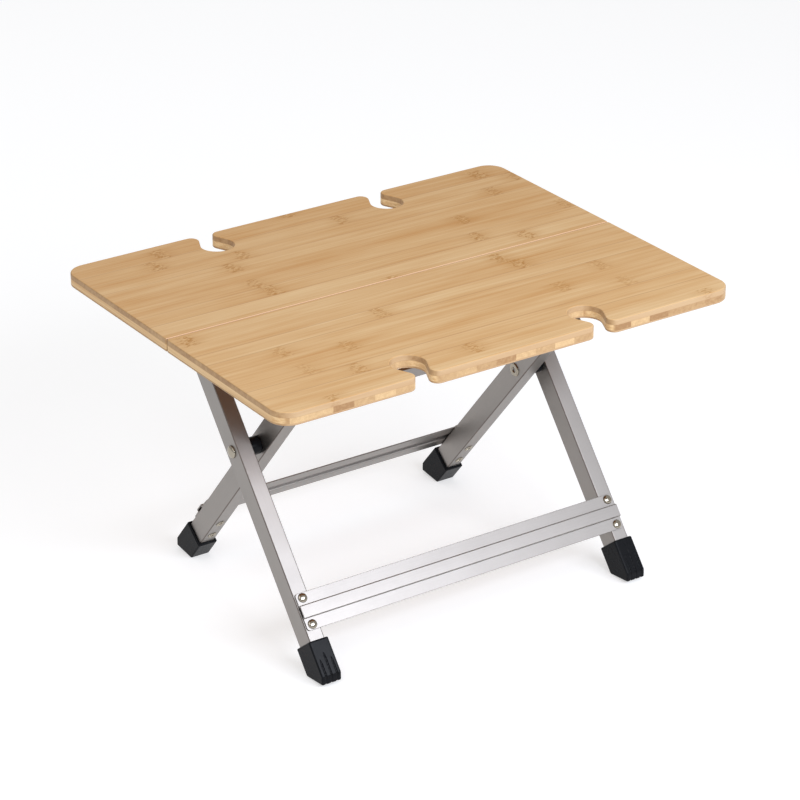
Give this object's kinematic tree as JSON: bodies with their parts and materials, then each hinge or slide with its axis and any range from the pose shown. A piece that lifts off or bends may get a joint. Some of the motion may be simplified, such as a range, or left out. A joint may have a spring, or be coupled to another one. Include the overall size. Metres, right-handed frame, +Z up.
{
  "type": "folding side table",
  "caption": "Low folding side table: a split bamboo top with open-ended stemware slots in both long edges, on crossed aluminium leg frames with riveted crossbars and moulded boots.",
  "frame": {"origin": "on the floor, below the middle of the top", "axes": "+X along the long edge and the seam, +Y to the rear edge (the outer frame's feet are at -Y), +Z up"},
  "size_m": [0.52, 0.401, 0.321],
  "materials": {
    "bamboo": "clear satin lacquer over laminated bamboo strips",
    "anodised_aluminium": "satin anodised, slightly warm",
    "black_nylon": "moulded, satin",
    "nickel_rivet": "bright nickel plate",
    "zinc_steel": "zinc plated sheet"
  },
  "bodies": {
    "front_panel": {"front_panel": "bamboo", "inner_bracket_left": "zinc_steel", "inner_bracket_left_screw_edge": "zinc_steel", "inner_bracket_left_screw_seam": "zinc_steel", "inner_bracket_right": "zinc_steel", "inner_bracket_right_screw_edge": "zinc_steel", "inner_bracket_right_screw_seam": "zinc_steel", "seam_hinge_front_leaf_left": "zinc_steel", "seam_hinge_front_leaf_right": "zinc_steel", "seam_hinge_pin_left": "zinc_steel", "seam_hinge_pin_right": "zinc_steel"},
    "rear_panel": {"outer_bracket_left": "zinc_steel", "outer_bracket_left_screw_edge": "zinc_steel", "outer_bracket_left_screw_seam": "zinc_steel", "outer_bracket_right": "zinc_steel", "outer_bracket_right_screw_edge": "zinc_steel", "outer_bracket_right_screw_seam": "zinc_steel", "rear_panel": "bamboo", "seam_hinge_rear_leaf_left": "zinc_steel", "seam_hinge_rear_leaf_right": "zinc_steel"},
    "outer_frame": {"cross_rivet_left": "nickel_rivet", "cross_rivet_right": "nickel_rivet", "cross_spacer_left": "black_nylon", "cross_spacer_right": "black_nylon", "outer_crossbar_rivet_left_lower": "nickel_rivet", "outer_crossbar_rivet_left_upper": "nickel_rivet", "outer_crossbar_rivet_right_lower": "nickel_rivet", "outer_crossbar_rivet_right_upper": "nickel_rivet", "outer_foot_left": "black_nylon", "outer_foot_right": "black_nylon", "outer_leg_left": "anodised_aluminium", "outer_leg_plug_left": "black_nylon", "outer_leg_plug_right": "black_nylon", "outer_leg_right": "anodised_aluminium", "outer_lower_crossbar": "anodised_aluminium", "outer_top_pin_left": "nickel_rivet", "outer_top_pin_right": "nickel_rivet", "outer_upper_crossbar": "anodised_aluminium", "outer_upper_rivet_left": "nickel_rivet", "outer_upper_rivet_right": "nickel_rivet"},
    "inner_frame": {"cross_rivet_tail_left": "nickel_rivet", "cross_rivet_tail_right": "nickel_rivet", "inner_crossbar_rivet_left_lower": "nickel_rivet", "inner_crossbar_rivet_left_upper": "nickel_rivet", "inner_crossbar_rivet_right_lower": "nickel_rivet", "inner_crossbar_rivet_right_upper": "nickel_rivet", "inner_foot_left": "black_nylon", "inner_foot_right": "black_nylon", "inner_leg_left": "anodised_aluminium", "inner_leg_plug_left": "black_nylon", "inner_leg_plug_right": "black_nylon", "inner_leg_right": "anodised_aluminium", "inner_lower_crossbar": "anodised_aluminium", "inner_top_pin_left": "nickel_rivet", "inner_top_pin_right": "nickel_rivet", "inner_upper_crossbar": "anodised_aluminium", "inner_upper_rivet_left": "nickel_rivet", "inner_upper_rivet_right": "nickel_rivet"}
  },
  "joints": [
    {"name": "seam_fold", "type": "hinge", "parent": "front_panel", "child": "rear_panel", "pos_m": [0, 0, 0.2888], "axis": [-1, 0, 0], "range_deg": [0, 179]},
    {"name": "outer_leg_pivot", "type": "hinge", "parent": "rear_panel", "child": "outer_frame", "pos_m": [0, 0.0863, 0.2888], "axis": [1, 0, 0], "range_deg": [0, 128.75]},
    {"name": "inner_leg_pivot", "type": "hinge", "parent": "front_panel", "child": "inner_frame", "pos_m": [0, -0.0863, 0.2888], "axis": [-1, 0, 0], "range_deg": [0, 128.75]}
  ],
  "couplings": [
    {"joint": "outer_leg_pivot", "follows": "seam_fold", "ratio": 0.71917},
    {"joint": "inner_leg_pivot", "follows": "seam_fold", "ratio": 0.71917}
  ]
}
